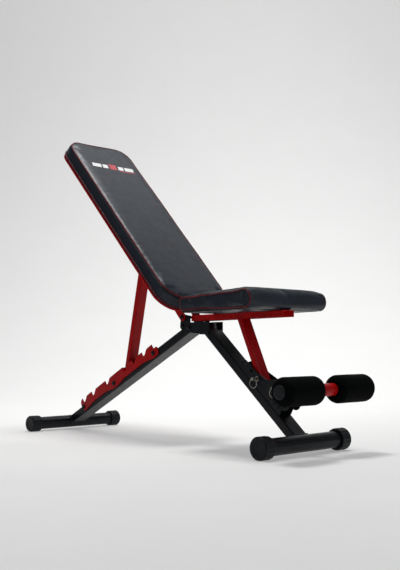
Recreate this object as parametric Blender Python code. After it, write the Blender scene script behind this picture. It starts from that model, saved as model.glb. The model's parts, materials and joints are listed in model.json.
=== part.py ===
"""Adjustable weight bench: folding A-frame, ratchet backrest, tilting seat, leg hold.

Metres, +Z up. The bench runs along X with the seat's front at +X, its two floor
tubes lie along Y, and the origin is on the floor under the middle of the whole.
Side shapes are drawn in the XZ plane and given their width along Y.
"""

import math

import bmesh
import bpy
from mathutils import Matrix, Vector

# Clearances
GAP = 0.0003  # between pieces that touch
SIDE_PLAY = 0.0005  # beside a plate that slides past another

# Base and legs
BASE_LENGTH = 1.0  # between the two floor tubes' axes
BASE_MIDDLE_X = -0.0431  # midway between them
LEG_WIDTH = 0.050
LEG_DEPTH = 0.025
LEG_WALL = 0.002
LEG_CORNER = 0.003
FRONT_HEAD_X = 0.0984  # the front leg's plumb-cut top end
FRONT_HEAD_Z = 0.346474  # its centre line there
REAR_PIVOT = (0.0569, 0.333658)
HEAD_LOW = 0.316  # the hinge bracket's lower edge

# Floor tubes and their ribbed end caps
FRONT_FOOT_LENGTH = 0.3455
FRONT_FOOT_RADIUS = 0.0225
FRONT_CAP_RADIUS = 0.0298
REAR_FOOT_LENGTH = 0.3605
REAR_FOOT_RADIUS = 0.020
REAR_CAP_RADIUS = 0.0258
FOOT_WALL = 0.002
CAP_SKIRT = 0.030
CAP_END = 0.006
CAP_FLAT = 0.0005  # how much of the cap is cut away to stand flat
CAP_FLUTES = 15
CAP_FLUTE_DEPTH = 0.0013

# Sheet steel
PLATE = 0.003
EAR = 0.004

# Bolts
BOLT_RADIUS = 0.004
BOLT_HEAD_RADIUS = 0.0075
BOLT_HEAD_HEIGHT = 0.0045
NUT_RADIUS = 0.0080
NUT_HEIGHT = 0.006

# Backrest, in its own frame: along the back from the hinge, and square to it
BACK_HINGE = (0.0319, 0.365)
BACK_ANGLES = (9.0, 19.0, 32.0, 46.5, 55.0, 65.0, 78.0)  # one rack notch each
BACK_SET = 3  # the notch that the bench stands in
BACK_LENGTH = 0.750
BACK_WIDTH = 0.2535
BACK_TOP_RADIUS = 0.050
BACK_END_RADIUS = 0.066
BACK_BOARD_LIFT = 0.0225  # from the hinge axis to the board's back
BACK_BOARD_THICKNESS = 0.006
BACK_PAD_THICKNESS = 0.0437
PAD_EDGE_RADIUS = 0.010
RAIL_WIDTH = 0.040
RAIL_DEPTH = 0.020
RAIL_START = 0.036
RAIL_LENGTH = 0.580

# Prop and its rack
PROP_STATION = 0.2794  # along the back, from the hinge
PROP_WIDTH = 0.036
PROP_DEPTH = 0.017
PROP_FOOT_STATION = 0.348  # along the rear leg, with the backrest as it stands
PROP_PIN_RADIUS = 0.006
PROP_PIN_OVERHANG = 0.006
RACK_TOOTH = 0.0205  # the teeth's height above the leg
RACK_RAMP = 0.0195  # from a notch's pin forward to the top of its ramp
RACK_REAR = 0.022  # behind the first notch
RACK_AHEAD = 0.013  # ahead of the last notch
RACK_EDGE = 0.0005  # the lower edge above the leg's centre line, between bolts
RACK_DIP = 0.0085  # how much lower it runs at a bolt
RACK_BOLT_RISE = 0.0062
RACK_BOLT_STATIONS = (0.104, 0.284, 0.4985)

# Seat
SEAT_TILT = 1.0  # degrees, front up
SEAT_PIVOT = (0.0849, 0.3605)
CHANNEL_START = (0.0609, 0.352)
CHANNEL_LENGTH = 0.352
CHANNEL_WIDTH = 0.044
CHANNEL_HEIGHT = 0.018
CHANNEL_WALL = 0.002
SEAT_START_X = 0.1459
SEAT_LENGTH = 0.2735
SEAT_WIDTH = 0.3105
SEAT_BOARD_THICKNESS = 0.006
SEAT_PAD_REAR = 0.0355
SEAT_PAD_FRONT = 0.0455
SEAT_ROLL = 0.022  # depth of the rolled front
SEAT_ROLL_DROP = 0.0058  # how far the roll hangs below the board's top

# Strut under the seat, and the adjuster plates that it stands in
STRUT_TOP_X = 0.2464
STRUT_WIDTH = 0.036
STRUT_DEPTH = 0.018
STRUT_WALL = 0.0015
STRUT_STATION = 0.2088  # the strut pin, up the front leg from its foot
ADJUST_PITCH = 0.030
ADJUST_HOLES = 3
ADJUST_HEIGHT = 0.0338  # the strut pin, above the leg's centre line

# Leg hold
HOLD_AHEAD = 0.0752  # the rollers' axis, ahead of the front foot
HOLD_HEIGHT = 0.170
HOLD_SPACING = 0.2090  # between the rollers' centres
HOLD_TRAVEL = 0.040
STEM_LENGTH = 0.1892  # from the rollers' axis to its tail
STEM_WIDTH = STRUT_WIDTH  # both stand between the same plates
STEM_DEPTH = 0.018
STEM_PIN_BACK = 0.1382  # behind the rollers' axis
CROSSBAR_RADIUS = 0.0165
CROSSBAR_WALL = 0.003
SPINDLE_RADIUS = 0.0125
ROLLER_RADIUS = 0.0370
ROLLER_LENGTH = 0.142
ROLLER_ROUNDING = 0.017

# Hitch pins and their rings
HITCH_RADIUS = 0.004
HITCH_GRIP = 0.0235  # from the plate to the end of the pin's head
RING_RADIUS = 0.0125
RING_WIRE = 0.0013
RING_EYE = 0.0026
RING_LIFT = 0.0005

SEGMENTS = 24


# ---------------------------------------------------------------- frames

def rotated(angle):
    """The unit vector at an angle in degrees in the XZ plane."""
    return Vector((math.cos(math.radians(angle)), math.sin(math.radians(angle))))


class SideFrame:
    """Maps (along, across) to XZ, with across turned left of along."""

    def __init__(self, origin, angle, mirrored=False):
        self.origin = Vector(origin)
        self.along = rotated(angle)
        side = -1.0 if mirrored else 1.0
        self.across = Vector((-self.along.y, self.along.x)) * side

    def at(self, along, across):
        point = self.origin + self.along * along + self.across * across
        return (point.x, point.y)

    def locate(self, point):
        """A point's (along, across) in this frame."""
        offset = Vector(point) - self.origin
        return (offset.dot(self.along), offset.dot(self.across))


def circle_meet(centre_a, radius_a, centre_b, radius_b):
    """The upper point that lies on both circles."""
    a = Vector(centre_a)
    b = Vector(centre_b)
    reach = (b - a).length
    along = (radius_a ** 2 - radius_b ** 2 + reach ** 2) / (2 * reach)
    across = math.sqrt(radius_a ** 2 - along ** 2)
    direction = (b - a) / reach
    square = Vector((-direction.y, direction.x))
    both = [a + direction * along + square * across * side for side in (1, -1)]
    return max(both, key=lambda point: point.y)


# Places that the driving dimensions settle
FRONT_FOOT = (BASE_MIDDLE_X + BASE_LENGTH / 2, FRONT_CAP_RADIUS - CAP_FLAT)
REAR_FOOT = (BASE_MIDDLE_X - BASE_LENGTH / 2, REAR_CAP_RADIUS - CAP_FLAT)
FRONT_LEG_ANGLE = math.degrees(math.atan2(FRONT_HEAD_Z - FRONT_FOOT[1], FRONT_FOOT[0] - FRONT_HEAD_X))
REAR_LEG_ANGLE = math.degrees(math.atan2(REAR_PIVOT[1] - REAR_FOOT[1], REAR_PIVOT[0] - REAR_FOOT[0]))
FRONT_LEG = SideFrame(FRONT_FOOT, 180.0 - FRONT_LEG_ANGLE, mirrored=True)
REAR_LEG = SideFrame(REAR_FOOT, REAR_LEG_ANGLE)
REAR_PIVOT_STATION = REAR_LEG.locate(REAR_PIVOT)[0]
BACK = SideFrame(BACK_HINGE, 180.0 - BACK_ANGLES[BACK_SET], mirrored=True)
RAIL_TOP = BACK_BOARD_LIFT - GAP
RAIL_BOTTOM = RAIL_TOP - RAIL_DEPTH
PROP_LIFT = RAIL_BOTTOM - PROP_DEPTH / 2 - 0.0045
PROP_PIVOT = BACK.at(PROP_STATION, PROP_LIFT)
PIN_HEIGHT = LEG_DEPTH / 2 + PROP_DEPTH / 2 + 0.0035
PROP_FOOT = REAR_LEG.at(PROP_FOOT_STATION, PIN_HEIGHT)
PROP_LENGTH = (Vector(PROP_PIVOT) - Vector(PROP_FOOT)).length
SEAT = SideFrame(CHANNEL_START, SEAT_TILT)
STRUT_TOP = SEAT.at((STRUT_TOP_X - CHANNEL_START[0]), CHANNEL_HEIGHT / 2 - 0.001)
STRUT_FOOT = FRONT_LEG.at(STRUT_STATION, ADJUST_HEIGHT)
HOLD_AXIS = (FRONT_FOOT[0] + HOLD_AHEAD, HOLD_HEIGHT)
STEM_TAIL_X = HOLD_AXIS[0] - STEM_LENGTH
STEM_PIN_X = HOLD_AXIS[0] - STEM_PIN_BACK
STEM_PIN = (STEM_PIN_X, HOLD_AXIS[1])
LEG_SIDE = LEG_WIDTH / 2
EAR_IN = LEG_SIDE + SIDE_PLAY
EAR_OUT = EAR_IN + PLATE
RACK_IN = LEG_SIDE + GAP
RACK_OUT = RACK_IN + PLATE
FLANGE_IN = EAR_OUT + SIDE_PLAY
FLANGE_OUT = FLANGE_IN + EAR
ADJUST_IN = STRUT_WIDTH / 2 + GAP + 0.003
ADJUST_OUT = ADJUST_IN + PLATE


# ---------------------------------------------------------------- materials

def material(name, red, green, blue, roughness, metallic):
    """A Principled material."""
    made = bpy.data.materials.new(name)
    made.use_nodes = True
    shader = made.node_tree.nodes["Principled BSDF"]
    shader.inputs["Base Color"].default_value = (red, green, blue, 1.0)
    shader.inputs["Roughness"].default_value = roughness
    shader.inputs["Metallic"].default_value = metallic
    made.diffuse_color = (red, green, blue, 1.0)
    return made


def black_paint():
    return material("black_powder_coat", 0.015, 0.017, 0.022, 0.42, 0.0)


def red_paint():
    return material("red_powder_coat", 0.42, 0.008, 0.012, 0.35, 0.0)


def zinc():
    return material("zinc_plate", 0.55, 0.54, 0.50, 0.35, 1.0)


def black_oxide():
    return material("black_oxide_steel", 0.03, 0.03, 0.03, 0.4, 1.0)


def cap_plastic():
    return material("cap_plastic", 0.02, 0.021, 0.024, 0.5, 0.0)


def vinyl():
    return material("black_leatherette", 0.012, 0.015, 0.020, 0.45, 0.0)


def foam():
    return material("black_foam", 0.006, 0.007, 0.007, 0.85, 0.0)


# ---------------------------------------------------------------- solids

def finish(name, mesh_builder, look, smooth_angle=35.0):
    """Makes a named object from a bmesh and shades it."""
    bmesh.ops.recalc_face_normals(mesh_builder, faces=mesh_builder.faces)
    mesh = bpy.data.meshes.new(name)
    mesh_builder.to_mesh(mesh)
    mesh_builder.free()
    mesh.shade_smooth()
    mesh.set_sharp_from_angle(angle=math.radians(smooth_angle))
    made = bpy.data.objects.new(name, mesh)
    bpy.context.scene.collection.objects.link(made)
    if look is not None:
        mesh.materials.append(look)
    return made


def plate(name, outline, y_low, y_high, look):
    """An XZ outline given its thickness along Y."""
    shape = bmesh.new()
    ring = [shape.verts.new((x, y_low, z)) for x, z in outline]
    face = shape.faces.new(ring)
    lifted = bmesh.ops.extrude_face_region(shape, geom=[face])
    moved = [v for v in lifted["geom"] if isinstance(v, bmesh.types.BMVert)]
    bmesh.ops.translate(shape, verts=moved, vec=(0, y_high - y_low, 0))
    return finish(name, shape, look)


def turned(name, profile, centre, look, segments=SEGMENTS, shape_radius=None):
    """A closed (radius, y) profile turned about the Y axis through centre (x, z)."""
    shape = bmesh.new()
    rings = []
    for radius, y in profile:
        if radius <= 0:
            rings.append([shape.verts.new((centre[0], y, centre[1]))])
            continue
        ring = []
        for step in range(segments):
            turn = 2 * math.pi * (step + 0.5) / segments
            size = shape_radius(radius, y, turn) if shape_radius else radius
            x = centre[0] + size * math.sin(turn)
            z = centre[1] - size * math.cos(turn)
            ring.append(shape.verts.new((x, y, z)))
        rings.append(ring)
    for index, ring in enumerate(rings):
        following = rings[(index + 1) % len(rings)]
        if len(ring) == 1 and len(following) == 1:
            continue
        for step in range(segments):
            onward = (step + 1) % segments
            corners = [ring[step % len(ring)], following[step % len(following)]]
            if len(following) > 1:
                corners.append(following[onward])
            if len(ring) > 1:
                corners.append(ring[onward])
            shape.faces.new(corners)
    return finish(name, shape, look)


def rounded_section(width, depth, radius, steps=3):
    """A rounded rectangle's points as (y, across), counter-clockwise."""
    points = []
    for corner, (side, top) in enumerate(((1, 1), (-1, 1), (-1, -1), (1, -1))):
        centre = (side * (width / 2 - radius), top * (depth / 2 - radius))
        for step in range(steps + 1):
            turn = math.radians(90 * corner + 90 * step / steps)
            points.append((centre[0] + radius * math.cos(turn), centre[1] + radius * math.sin(turn)))
    return points


def box_tube(name, frame, start, end, width, depth, wall, look, corner=LEG_CORNER):
    """A rectangular tube with open ends, along a side frame's axis."""
    shape = bmesh.new()
    outer = rounded_section(width, depth, corner)
    inner = rounded_section(width - 2 * wall, depth - 2 * wall, max(corner - wall, 0.0008))
    loops = []
    for points, along in ((outer, start), (outer, end), (inner, end), (inner, start)):
        ring = []
        for y, across in points:
            x, z = frame.at(along, across)
            ring.append(shape.verts.new((x, y, z)))
        loops.append(ring)
    for index, ring in enumerate(loops):
        following = loops[(index + 1) % 4]
        for step in range(len(ring)):
            onward = (step + 1) % len(ring)
            shape.faces.new((ring[step], ring[onward], following[onward], following[step]))
    return finish(name, shape, look)


def arc(centre, radius, start, end, steps=6):
    """Points on an arc in the XZ plane, angles in degrees."""
    return [
        tuple(Vector(centre) + rotated(start + (end - start) * step / steps) * radius)
        for step in range(steps + 1)
    ]


def hull(points):
    """The convex outline around XZ points."""
    ordered = sorted(set((round(x, 7), round(z, 7)) for x, z in points))

    def half(side):
        chain = []
        for point in side:
            while len(chain) > 1 and turn_left(chain[-2], chain[-1], point) <= 0:
                chain.pop()
            chain.append(point)
        return chain[:-1]

    return half(ordered) + half(ordered[::-1])


def turn_left(a, b, c):
    return (b[0] - a[0]) * (c[1] - a[1]) - (b[1] - a[1]) * (c[0] - a[0])


def disc(centre, radius, steps=SEGMENTS):
    return arc(centre, radius, 0, 360 - 360 / steps, steps - 1)


# ---------------------------------------------------------------- cutting

def as_cutter(cutter):
    """Hides a solid that only cuts another."""
    cutter.hide_render = True
    cutter.display_type = "WIRE"
    return cutter


def combine(target, tool, operation):
    step = target.modifiers.new(operation.lower() + "_" + tool.name, "BOOLEAN")
    step.object = as_cutter(tool)
    step.operation = operation
    step.solver = "EXACT"


def bore(target, centre, radius, reach=0.12, middle=0.0):
    """Drills a hole along Y through whatever lies within reach of the middle plane."""
    ends = [(0, middle - reach), (radius, middle - reach), (radius, middle + reach), (0, middle + reach)]
    combine(target, turned("bore_" + target.name, ends, centre, None), "DIFFERENCE")


def slot(target, outline, reach=0.12):
    """Cuts an XZ outline right through along Y."""
    combine(target, plate("slot_" + target.name, outline, -reach, reach, None), "DIFFERENCE")


# ---------------------------------------------------------------- hardware

def bolt(name, centre, y_head, y_end, look, radius=BOLT_RADIUS):
    """A button-headed bolt along Y, head outside y_head on its side."""
    side = 1 if y_end > y_head else -1
    crown = y_head - side * BOLT_HEAD_HEIGHT
    profile = [
        (0, crown),
        (BOLT_HEAD_RADIUS * 0.62, crown + side * BOLT_HEAD_HEIGHT * 0.08),
        (BOLT_HEAD_RADIUS * 0.92, crown + side * BOLT_HEAD_HEIGHT * 0.45),
        (BOLT_HEAD_RADIUS, y_head),
        (radius, y_head),
        (radius, y_end),
        (0, y_end),
    ]
    return turned(name, profile, centre, look, segments=14)


def nut(name, centre, y_low, look, radius=BOLT_RADIUS):
    """A hex nut along Y from y_low."""
    hole = (radius + GAP) / math.cos(math.radians(30))
    top = y_low + NUT_HEIGHT
    rim = 0.0008
    profile = [
        (hole, y_low), (NUT_RADIUS, y_low), (NUT_RADIUS, top - rim), (NUT_RADIUS - rim, top), (hole, top),
    ]
    return turned(name, profile, centre, look, segments=6)


def bolt_and_nut(name, centre, y_face, look):
    """A bolt across the bench with its nut on the far side."""
    end = y_face + GAP + NUT_HEIGHT + 0.0015
    return [
        bolt(name + "_bolt", centre, -y_face - GAP, end, look),
        nut(name + "_nut", centre, y_face + GAP, look),
    ]


# ---------------------------------------------------------------- feet

def foot_tube(name, centre, length, radius, look):
    """A round floor tube along Y with open ends."""
    half = length / 2 - CAP_END - GAP
    inner = radius - FOOT_WALL
    return turned(name, [(radius, -half), (radius, half), (inner, half), (inner, -half)], centre, look, 36)


def foot_cap(name, centre, length, tube_radius, radius, side, look):
    """A ribbed plastic cap over a floor tube's end, with a flat to stand on."""
    end = side * length / 2
    inward = -side
    skirt = end + inward * (CAP_END + CAP_SKIRT)
    bed = end + inward * CAP_END
    seat = tube_radius + GAP
    profile = [
        (0, end + inward * 0.0012),
        (radius * 0.50, end + inward * 0.0012),
        (radius * 0.53, end + inward * 0.0004),
        (radius * 0.60, end),
        (radius * 0.90, end),
        (radius, end + inward * 0.0035),
        (radius, end + inward * 0.0085),
        (radius, skirt + side * 0.003),
        (radius - 0.0012, skirt),
        (seat, skirt),
        (seat, bed),
        (0, bed),
    ]
    flute_start = abs(end) - 0.006
    floor = centre[1]

    def ribbed(size, y, turn):
        swing = math.cos(turn)
        if size == radius and abs(y) < flute_start:
            on_top = swing < math.cos(math.radians(24))
            if on_top:
                size -= CAP_FLUTE_DEPTH * (0.5 - 0.5 * math.cos(CAP_FLUTES * turn))
        if size > floor and swing > 0:
            size = min(size, floor / swing)
        return size

    return turned(name, profile, centre, look, CAP_FLUTES * 4, ribbed)


# ---------------------------------------------------------------- front frame

def front_leg(look):
    """The front leg, saddled on its floor tube, plumb at the top and level under the seat."""
    top_x, _ = FRONT_LEG.at(0, 0)
    length = (top_x - FRONT_HEAD_X) / math.cos(math.radians(FRONT_LEG_ANGLE)) + 0.03
    made = box_tube("front_leg", FRONT_LEG, 0, length, LEG_WIDTH, LEG_DEPTH, LEG_WALL, look)
    bore(made, FRONT_FOOT, FRONT_FOOT_RADIUS + GAP)
    low = CHANNEL_START[1] - 0.003
    high = low + 0.2
    behind = FRONT_HEAD_X - 0.2
    ahead = FRONT_HEAD_X + 0.2
    slot(made, [(behind, 0.1), (FRONT_HEAD_X, 0.1), (FRONT_HEAD_X, low), (ahead, low), (ahead, high), (behind, high)])
    return made


def stop_place():
    """The bolt that the rear leg's top face rests against when the bench stands."""
    station = REAR_PIVOT_STATION - 0.0235
    return REAR_LEG.at(station, LEG_DEPTH / 2 + BOLT_RADIUS + GAP)


def ear_outline():
    """The hinge bracket's side: back hinge, rear-leg pivot and stop bolt."""
    web = FRONT_HEAD_X - GAP
    shelf = CHANNEL_START[1] - 0.003
    hinge = Vector(BACK_HINGE)
    stop = Vector(stop_place())
    points = arc(hinge, 0.0105, 45, 185, 8)
    points += arc(stop, 0.0100, 175, 235, 3)
    points += arc(REAR_PIVOT, 0.0150, 235, 285, 4)
    points += [(web, HEAD_LOW), (web, shelf), (hinge.x + 0.0285, shelf), (hinge.x + 0.0285, hinge.y + 0.0036)]
    return points


def hinge_bracket(look):
    """A folded U: a web across the front leg's end and an ear each side of the rear leg."""
    outline = ear_outline()
    near = plate("hinge_bracket", outline, -EAR_OUT, -EAR_IN, look)
    far = plate("hinge_bracket_far_ear", outline, EAR_IN, EAR_OUT, None)
    web = FRONT_HEAD_X - GAP
    low = HEAD_LOW
    shelf = CHANNEL_START[1] - 0.003
    back = [(web - PLATE, low), (web, low), (web, shelf), (web - PLATE, shelf)]
    combine(near, plate("hinge_bracket_web", back, -EAR_IN - 0.001, EAR_IN + 0.001, None), "UNION")
    combine(near, far, "UNION")
    for centre in (BACK_HINGE, REAR_PIVOT, stop_place()):
        bore(near, centre, BOLT_RADIUS + GAP)
    return near


def cheek(name, side, look):
    """A gusset that ties the front leg's head to the hinge bracket."""
    low = HEAD_LOW - 0.0025
    high = CHANNEL_START[1] - 0.002
    start = FRONT_HEAD_X + GAP
    corner = 0.008
    outline = arc((start + corner, low + corner), corner, 180, 270, 4)
    outline += [(start + 0.0405, low), (start + 0.0405, high), (start, high)]
    ys = sorted((side * (LEG_SIDE + GAP), side * (LEG_SIDE + GAP + EAR)))
    return plate(name, outline, ys[0], ys[1], look)


def seat_lug(name, side, look):
    """One of the two lugs inside the seat channel that carry its pivot pin."""
    x, z = SEAT_PIVOT
    foot = FRONT_HEAD_X - GAP - PLATE - GAP
    outline = arc(SEAT_PIVOT, 0.0070, 0, 180, 8)
    outline += [(x - 0.0070, z - 0.012), (x - 0.0040, 0.320), (foot, 0.320), (foot, z - 0.006), (x + 0.0070, z - 0.003)]
    inner = CHANNEL_WIDTH / 2 - CHANNEL_WALL - 0.0010
    ys = sorted((side * inner, side * (inner - EAR)))
    made = plate(name, outline, ys[0], ys[1], look)
    bore(made, SEAT_PIVOT, BOLT_RADIUS + GAP)
    return made


def adjuster_plate(name, side, look):
    """A side plate on the front leg: strut pin holes above, stem socket below."""
    base = LEG_DEPTH / 2 + GAP
    top_hole = STRUT_STATION + (ADJUST_HOLES - 1) * ADJUST_PITCH
    crest = HOLD_AXIS[1] + STEM_DEPTH / 2 + 0.0105
    nose = HOLD_AXIS[0] - 0.112
    chin = (nose - 0.004, 0.1265)
    outline = [FRONT_LEG.at(top_hole + 0.028, base), FRONT_LEG.at(0.090, base)]
    outline += arc(chin, 0.0155, 232, 360, 6)
    outline += arc((nose + 0.0035, crest - 0.008), 0.008, 0, 90, 4)
    outline += [(STRUT_FOOT[0] + 0.030, crest + 0.002), FRONT_LEG.at(STRUT_STATION + 0.012, ADJUST_HEIGHT + 0.0105)]
    outline += [FRONT_LEG.at(top_hole + 0.006, ADJUST_HEIGHT + 0.008), FRONT_LEG.at(top_hole + 0.020, ADJUST_HEIGHT - 0.010)]
    ys = sorted((side * ADJUST_IN, side * ADJUST_OUT))
    made = plate(name, outline, ys[0], ys[1], look)
    for index in range(ADJUST_HOLES):
        bore(made, FRONT_LEG.at(STRUT_STATION + index * ADJUST_PITCH, ADJUST_HEIGHT), HITCH_RADIUS + GAP)
    bore(made, STEM_PIN, HITCH_RADIUS + GAP)
    for centre in tie_places():
        bore(made, centre, BOLT_RADIUS + GAP)
    return made


def tie_places():
    """The two bolts that tie the adjuster plates together under the stem."""
    return [FRONT_LEG.at(station, LEG_DEPTH / 2 + 0.0165) for station in (0.1120, 0.1290)]


def stem_frame():
    return SideFrame((0.0, HOLD_AXIS[1]), 0.0)


def stem_socket(look):
    """A short rectangular sleeve between the adjuster plates that guides the stem."""
    width = 2 * (ADJUST_IN - GAP)
    made = box_tube(
        "stem_socket", stem_frame(), STEM_PIN_X - 0.022, STEM_PIN_X + 0.026,
        width, STEM_DEPTH + 2 * LEG_WALL + 2 * SIDE_PLAY, LEG_WALL, look, corner=0.0025,
    )
    bore(made, STEM_PIN, HITCH_RADIUS + GAP)
    return made


# ---------------------------------------------------------------- rear frame

def rear_leg(look):
    """The rear leg, saddled on its floor tube and rounded around its pivot."""
    made = box_tube("rear_leg", REAR_LEG, 0, REAR_PIVOT_STATION + 0.0125, LEG_WIDTH, LEG_DEPTH, LEG_WALL, look)
    bore(made, REAR_FOOT, REAR_FOOT_RADIUS + GAP)
    bore(made, REAR_PIVOT, BOLT_RADIUS + GAP)
    half = LEG_DEPTH / 2
    start = REAR_LEG_ANGLE + 90
    outline = arc(REAR_PIVOT, half, start, start - 180, 10)
    far = REAR_PIVOT_STATION + 0.05
    outline += [REAR_LEG.at(far, -half - 0.01), REAR_LEG.at(far, half + 0.01), REAR_LEG.at(REAR_PIVOT_STATION, half + 0.01)]
    outline.insert(0, REAR_LEG.at(REAR_PIVOT_STATION, half + 0.01))
    del outline[-1]
    outline.insert(12, REAR_LEG.at(REAR_PIVOT_STATION, -half - 0.01))
    slot(made, outline)
    for station in RACK_BOLT_STATIONS:
        bore(made, rack_bolt_place(station), BOLT_RADIUS + GAP)
    return made


def rack_bolt_place(station):
    return REAR_LEG.at(station, RACK_BOLT_RISE)


def notch_stations():
    """Where the prop's foot pin stands along the rear leg for each back angle."""
    pivot = Vector(BACK_HINGE)
    reach = (Vector(PROP_PIVOT) - pivot).length
    set_back = math.degrees(math.atan2(PROP_LIFT, PROP_STATION))
    stations = []
    for angle in BACK_ANGLES:
        top = pivot + rotated(180.0 - angle + (-set_back)) * reach
        along, across = REAR_LEG.locate(top)
        drop = across - PIN_HEIGHT
        stations.append(along - math.sqrt(PROP_LENGTH ** 2 - drop ** 2))
    return stations


def notch(station, sweep=130):
    """One ratchet notch: a steep rear wall with a pointed tip, then a round seat."""
    seat = PROP_PIN_RADIUS + GAP
    centre = REAR_LEG.at(station, PIN_HEIGHT)
    start = REAR_LEG_ANGLE + 180
    tip = REAR_LEG.at(station - seat - 0.0008, LEG_DEPTH / 2 + RACK_TOOTH)
    return [tip] + arc(centre, seat, start, start + sweep, 6)


def rack_outline():
    """The rack's side: notches above, a lower edge that dips at each bolt."""
    stations = notch_stations()
    top = LEG_DEPTH / 2 + RACK_TOOTH
    floor = PIN_HEIGHT - PROP_PIN_RADIUS - GAP
    low = stations[0] - RACK_REAR
    high = stations[-1] + RACK_AHEAD
    ends = [(low + 0.004, RACK_EDGE), (low, 0.35 * top), (low + 0.001, 0.65 * top), (low + 0.005, 0.88 * top)]
    points = [REAR_LEG.at(along, across) for along, across in ends]
    for station in stations[:-1]:
        points += notch(station)
        points.append(REAR_LEG.at(station + RACK_RAMP, top - 0.001))
    points += notch(stations[-1], 90)
    ends = [(high - 0.004, floor), (high, 0.7 * floor), (high, 0.1 * floor), (high - 0.004, -0.3 * floor)]
    points += [REAR_LEG.at(along, across) for along, across in ends]
    samples = 24
    for index in range(samples + 1):
        along = high - 0.010 + (low - high + 0.020) * index / samples
        nearest = min(abs(along - bolt_station) for bolt_station in RACK_BOLT_STATIONS)
        swell = 0.5 + 0.5 * math.cos(math.pi * min(nearest / 0.060, 1.0))
        points.append(REAR_LEG.at(along, RACK_EDGE - RACK_DIP * swell))
    return points


def rack(name, side, look):
    """One of the two toothed plates on the rear leg."""
    ys = sorted((side * RACK_IN, side * RACK_OUT))
    made = plate(name, rack_outline(), ys[0], ys[1], look)
    for station in RACK_BOLT_STATIONS:
        bore(made, rack_bolt_place(station), BOLT_RADIUS + GAP)
    return made


# ---------------------------------------------------------------- backrest

def panel_outline(start, end, width, start_radius, end_radius):
    """A rounded panel as (along, y) points."""
    half = width / 2
    corners = (
        (end - end_radius, half - end_radius, end_radius, 0),
        (start + start_radius, half - start_radius, start_radius, 90),
        (start + start_radius, -half + start_radius, start_radius, 180),
        (end - end_radius, -half + end_radius, end_radius, 270),
    )
    points = []
    for along, y, radius, turn in corners:
        for step in range(9):
            angle = math.radians(turn + 90 * step / 8)
            points.append((along + radius * math.cos(angle), y + radius * math.sin(angle)))
    return points


def slab(name, frame, outline, layers, look):
    """A panel built from inset outlines: layers are (height, inset) from the bottom up."""
    shape = bmesh.new()
    middle_along = sum(point[0] for point in outline) / len(outline)
    rings = []
    for height, inset in layers:
        ring = []
        for index, (along, y) in enumerate(outline):
            before = Vector(outline[index - 1])
            after = Vector(outline[(index + 1) % len(outline)])
            run = (after - before).normalized()
            inward = Vector((-run.y, run.x))
            if inward.dot(Vector((middle_along, 0)) - Vector((along, y))) < 0:
                inward = -inward
            moved = Vector((along, y)) + inward * inset
            x, z = frame.at(moved.x, height)
            ring.append(shape.verts.new((x, moved.y, z)))
        rings.append(ring)
    shape.faces.new(rings[0])
    shape.faces.new(rings[-1])
    for low, high in zip(rings, rings[1:]):
        for index in range(len(low)):
            onward = (index + 1) % len(low)
            shape.faces.new((low[index], low[onward], high[onward], high[index]))
    return finish(name, shape, look)


def back_board(look):
    outline = panel_outline(0.0, BACK_LENGTH, BACK_WIDTH, BACK_END_RADIUS, BACK_TOP_RADIUS)
    return slab("back_board", BACK, outline, [
        (BACK_BOARD_LIFT, 0.0),
        (BACK_BOARD_LIFT + BACK_BOARD_THICKNESS, 0.0),
    ], look)


def back_pad(look):
    outline = panel_outline(0.0, BACK_LENGTH, BACK_WIDTH, BACK_END_RADIUS, BACK_TOP_RADIUS)
    low = BACK_BOARD_LIFT + BACK_BOARD_THICKNESS + GAP
    high = low + BACK_PAD_THICKNESS
    return slab("back_pad", BACK, outline, [
        (low, 0.002),
        (low + 0.005, 0.0),
        (high - PAD_EDGE_RADIUS, 0.0),
        (high - PAD_EDGE_RADIUS * 0.3, PAD_EDGE_RADIUS * 0.3),
        (high, PAD_EDGE_RADIUS),
    ], look)


def back_rail(look):
    """The rectangular rail that the board is screwed to."""
    frame = SideFrame(BACK.at(0, (RAIL_TOP + RAIL_BOTTOM) / 2), 180.0 - BACK_ANGLES[BACK_SET], mirrored=True)
    return box_tube("back_rail", frame, RAIL_START, RAIL_START + RAIL_LENGTH, RAIL_WIDTH, RAIL_DEPTH, 0.0015, look)


def rail_plug(look):
    """The plastic plug in the rail's top end."""
    frame = SideFrame(BACK.at(0, (RAIL_TOP + RAIL_BOTTOM) / 2), 180.0 - BACK_ANGLES[BACK_SET], mirrored=True)
    end = RAIL_START + RAIL_LENGTH
    outline = rounded_section(RAIL_WIDTH - 0.0005, RAIL_DEPTH - 0.0005, LEG_CORNER)
    core = rounded_section(RAIL_WIDTH - 0.0040, RAIL_DEPTH - 0.0040, 0.0012)
    shape = bmesh.new()
    rings = []
    for points, along in ((core, end - 0.014), (core, end + GAP), (outline, end + GAP), (outline, end + 0.003)):
        ring = []
        for y, across in points:
            x, z = frame.at(along, across)
            ring.append(shape.verts.new((x, y, z)))
        rings.append(ring)
    shape.faces.new(rings[0])
    shape.faces.new(rings[-1])
    for low, high in zip(rings, rings[1:]):
        for index in range(len(low)):
            onward = (index + 1) % len(low)
            shape.faces.new((low[index], low[onward], high[onward], high[index]))
    return finish("back_rail_plug", shape, look)


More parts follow.
